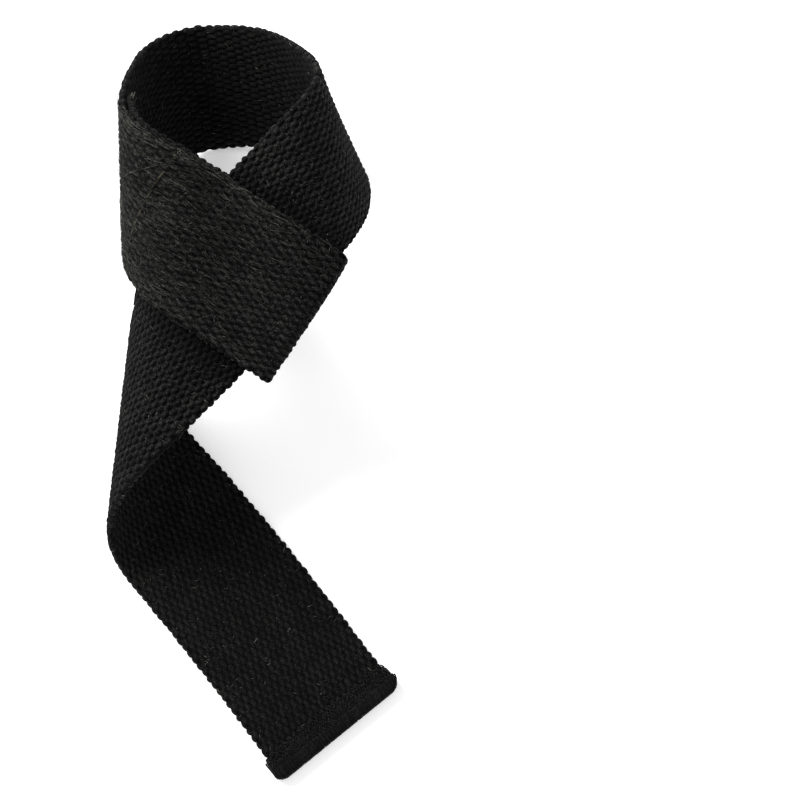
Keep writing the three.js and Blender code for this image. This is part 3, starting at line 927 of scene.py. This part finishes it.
def overlock_threads():
    """Threads wrapped round the tail's end, side by side, and the stitches that they lock into."""
    paths, radii, tones = [], [], []
    turn = np.linspace(0, math.pi, 7)
    reach_across = HALF_WIDTH + BINDING_SPREAD - OVERLOCK_INSET
    for c in np.arange(-reach_across, reach_across, OVERLOCK_PITCH):
        c = c + rng.uniform(-OVERLOCK_WANDER, OVERLOCK_WANDER)
        cut = float(corner_cut(c))
        reach = OVERLOCK_BAND + rng.uniform(-OVERLOCK_UNEVEN, OVERLOCK_UNEVEN)
        top = np.linspace(-reach, -cut, 5)
        low = np.linspace(-cut, OVERLOCK_FOOT - BINDING_DEPTH, 5)
        past = np.concatenate([top, OVERLOCK_TIP * np.sin(turn[1:-1]) - cut, low])
        wrap = np.concatenate([np.full(5, 1), np.cos(turn[1:-1]), np.full(5, -1)])
        slant = OVERLOCK_SLANT * np.linspace(-1, 1, len(past))
        across = c + slant + rng.normal(0, OVERLOCK_WOBBLE, len(past))
        paths.append(strap(CLOTH_LENGTH + past, across, -OVERLOCK_OUT * wrap) * MM)
        radii.append(rng.uniform(*OVERLOCK_RADII) * MM)
        tones.append(rng.uniform(*OVERLOCK_TONES))
    stitch = np.linspace(-0.5, 0.5, len(STITCH_HUMP))
    wander_across, wander_out, wander_along = WANDER_STITCH
    for row, past in enumerate(STITCH_ROWS):
        leaning = STITCH_PITCH * (STITCH_LEAN if row % 2 else -STITCH_LEAN)
        for c in np.arange(-HALF_WIDTH, HALF_WIDTH, STITCH_PITCH):
            across = c + leaning * stitch + rng.normal(0, wander_across)
            outward = rng.normal(0, wander_out) - np.array(STITCH_HUMP)
            run = past + STITCH_REACH * stitch + rng.normal(0, wander_along)
            paths.append(strap(CLOTH_LENGTH + run, across, outward) * MM)
            radii.append(STITCH_RADIUS * MM)
            tones.append(rng.uniform(*STITCH_TONES))
    return tubes("overlock_threads", paths, radii, 5, sewing_thread, tones)


def fibre_mesh(name, bow, lift, radius):
    """One bent fibre of unit length."""
    x = np.linspace(-0.5, 0.5, 5)
    path = np.stack([x, bow * (1 - 4 * x * x), lift * (1 - 4 * x * x)], -1)
    return tubes(name, [path], [radius], 3, stray_fibre, [0.5])


def scattered(name, fibre, density, shortest, longest, lift, seed, material):
    """Fibres grown on a copy of the cloth: so many to a square metre, their sizes in metres."""
    piece = bpy.data.objects.new(name, core.data.copy())
    bpy.context.scene.collection.objects.link(piece)
    return grown(piece, fibre_tree, fibre_inputs, Fibre=fibre, Density=density, Shortest=shortest,
                 Longest=longest, Lift=lift, Seed=seed, Material=material)


def frayed_end():
    """Loose thread ends along the raw inner edge."""
    paths, radii, tones = [], [], []
    t = np.linspace(0, 1, 5)
    first, last = FRAY_INSETS
    for c in np.arange(-HALF_WIDTH + first, HALF_WIDTH - last, FRAY_PITCH):
        reach = rng.uniform(*FRAY_REACH)
        across = c + rng.normal(0, FRAY_STRAY) * t + rng.normal(0, FRAY_BEND) * t * t
        outward = rng.uniform(-FRAY_STRAY, FRAY_STRAY) + rng.normal(0, FRAY_BEND) * t
        paths.append(strap(FRAY_START - reach * t, across, outward) * MM)
        radii.append(rng.uniform(*FRAY_RADII) * MM)
        tones.append(rng.uniform(*FRAY_TONES))
    return tubes("frayed_end", paths, radii, 4, rubbed_fibre, tones)


def combed_fibres():
    """Fibres rubbed loose and combed along the cloth, most of them round the loop's left side."""
    paths, radii, tones = [], [], []
    t = np.linspace(-0.5, 0.5, 5)
    arch = 1 - 4 * t * t
    places = rng.normal(RUB_AT, RUB_SPREAD, RUB_COUNT)
    middles = rng.uniform(-HALF_WIDTH + RUB_INSET, HALF_WIDTH - RUB_INSET, RUB_COUNT)
    rims = rng.uniform(0, 1, RUB_COUNT) < RIM_SHARE
    at_rim = -HALF_WIDTH + RIM_INSET + np.abs(rng.normal(0, RIM_SPREAD, RUB_COUNT))
    middles = np.where(rims, at_rim, middles)
    for at, middle, rim in zip(places, middles, rims):
        reach = rng.uniform(*RUB_REACH)
        slant = rng.normal(0, RUB_SLANT)
        bow = rng.normal(0, RUB_BOW)
        length = BAND_START + at + reach * t
        across = np.clip(middle + reach * slant * t + bow * arch, -HALF_WIDTH, HALF_WIDTH)
        outward = RUB_OUT + rng.uniform(0, RUB_LIFT) * arch
        paths.append(strap(length, across, outward) * MM)
        radii.append(rng.uniform(*RUB_RADII) * MM)
        tones.append(rng.uniform(*RUB_TONES) ** 3 * RUB_CONTRAST + RIM_TONE * rim)
    return tubes("combed_fibres", paths, radii, 3, rubbed_fibre, tones)


def loose_hair():
    """The fine loose thread that lies over the closing seam."""
    t = np.linspace(0, 1, 16)
    arch = np.sin(math.pi * t)
    back, over = HAIR_RUN
    length = BAND_START + HAIR_ALONG - back * t - HAIR_BEND * arch
    across = HAIR_ACROSS - over * t ** HAIR_CURVE
    path = strap(length, across, HAIR_OUT + HAIR_ARCH * arch) * MM
    return tubes("loose_hair", [path], [HAIR_RADIUS * MM], 4, stray_fibre, [HAIR_TONE])


outer_weave = weave("weave_outer", 1)
inner_weave = weave("weave_inner", -1)
edges = selvages()
seam = closing_seam()
binding = end_binding()
overlock = overlock_threads()
fray = frayed_end()
hair = loose_hair()
combed = combed_fibres()
fine_fibre = fibre_mesh("fine_fibre", bow=0.14, lift=0.12, radius=0.018)
short_lint = fibre_mesh("short_lint", bow=0.1, lift=0.05, radius=0.09)
fuzz = scattered("surface_fibres", fine_fibre, density=150000.0, shortest=0.0007, longest=0.0022,
                 lift=0.45, seed=21, material=stray_fibre)
down = scattered("cotton_down", fine_fibre, density=150000.0, shortest=0.0004, longest=0.0012,
                 lift=0.9, seed=23, material=cotton_down)
lint = scattered("lint", short_lint, density=1900.0, shortest=0.0004, longest=0.0009,
                 lift=0.3, seed=22, material=pale_lint)
for spare in (oval, soft_oval, fine_fibre, short_lint):
    bpy.data.objects.remove(spare)

cotton_pieces = [core, outer_weave, inner_weave, edges, seam, fray, hair, combed, fuzz, down, lint]
thread_pieces = [binding, overlock]

# Lift the fibres that would reach below the floor to just above it
FLOOR_CLEAR = 0.00002
for piece in cotton_pieces + thread_pieces:
    heights = np.empty(len(piece.data.vertices) * 3)
    piece.data.vertices.foreach_get("co", heights)
    heights = heights.reshape(-1, 3)
    heights[:, 2] = np.maximum(heights[:, 2], FLOOR_CLEAR)
    piece.data.vertices.foreach_set("co", heights.ravel())
    piece.data.update()

for piece in cotton_pieces:
    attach(piece, "root")
for piece in thread_pieces:
    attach(piece, "root")
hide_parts("webbing")
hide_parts("end_binding")

# Floor, light and camera
FLOOR_REACH = 6.0
FLOOR_GLOW = 0.4
WORLD_STRENGTH = 0.62


def floor_material(name, hex_code, roughness, glow):
    """A pale floor, lit a little from below like a light table, so that its shadows are faint."""
    material = bpy.data.materials.new(name)
    material.use_nodes = True
    surface = material.node_tree.nodes["Principled BSDF"]
    surface.inputs["Base Color"].default_value = colour(hex_code)
    surface.inputs["Roughness"].default_value = roughness
    surface.inputs["Emission Color"].default_value = colour(hex_code)
    surface.inputs["Emission Strength"].default_value = glow
    return material


floor_corners = [(x * FLOOR_REACH, y * FLOOR_REACH, 0)
                 for x, y in ((-1, -1), (1, -1), (1, 1), (-1, 1))]
floor = mesh_object("floor", floor_corners, [(0, 1, 2, 3)], smooth=False)
floor.data.materials.append(floor_material("pale floor", "f4f4f4", 0.9, FLOOR_GLOW))

world = bpy.data.worlds.new("soft studio")
world.use_nodes = True
background = world.node_tree.nodes["Background"]
background.inputs["Color"].default_value = colour("ffffff")
background.inputs["Strength"].default_value = WORLD_STRENGTH
bpy.context.scene.world = world


def area_light(name, place, target, size, power):
    data = bpy.data.lights.new(name, "AREA")
    data.shape = "DISK"
    data.size = size
    data.energy = power
    lamp = bpy.data.objects.new(name, data)
    bpy.context.scene.collection.objects.link(lamp)
    aim = np.array(target) - np.array(place)
    lamp.location = place
    lamp.rotation_mode = "QUATERNION"
    lamp.rotation_quaternion = Vector(aim).to_track_quat("-Z", "Y")
    return lamp


area_light("key", place=(-0.62, 0.5, 0.62), target=(0, 0.02, 0.03), size=0.55, power=17.0)
area_light("fill", place=(0.7, -0.5, 0.9), target=(0, 0, 0.02), size=0.9, power=2.5)

# The photo's camera: 78 degrees above the floor, a metre from the crossing, 0.25 mm to a pixel there
CAMERA_PLACE = (0.03731, -0.21301, 1.01942)
CAMERA_ELEVATION = 78.0
camera_data = bpy.data.cameras.new("photo camera")
camera_data.lens = 180.0
camera_data.sensor_width = 36.0
camera_data.clip_start = 0.05
camera_data.clip_end = 20.0
camera = bpy.data.objects.new("photo camera", camera_data)
bpy.context.scene.collection.objects.link(camera)
camera.location = CAMERA_PLACE
camera.rotation_euler = (math.radians(90 - CAMERA_ELEVATION), 0, 0)
bpy.context.scene.camera = camera

bpy.context.scene.view_settings.view_transform = "Standard"
bpy.context.view_layer.update()
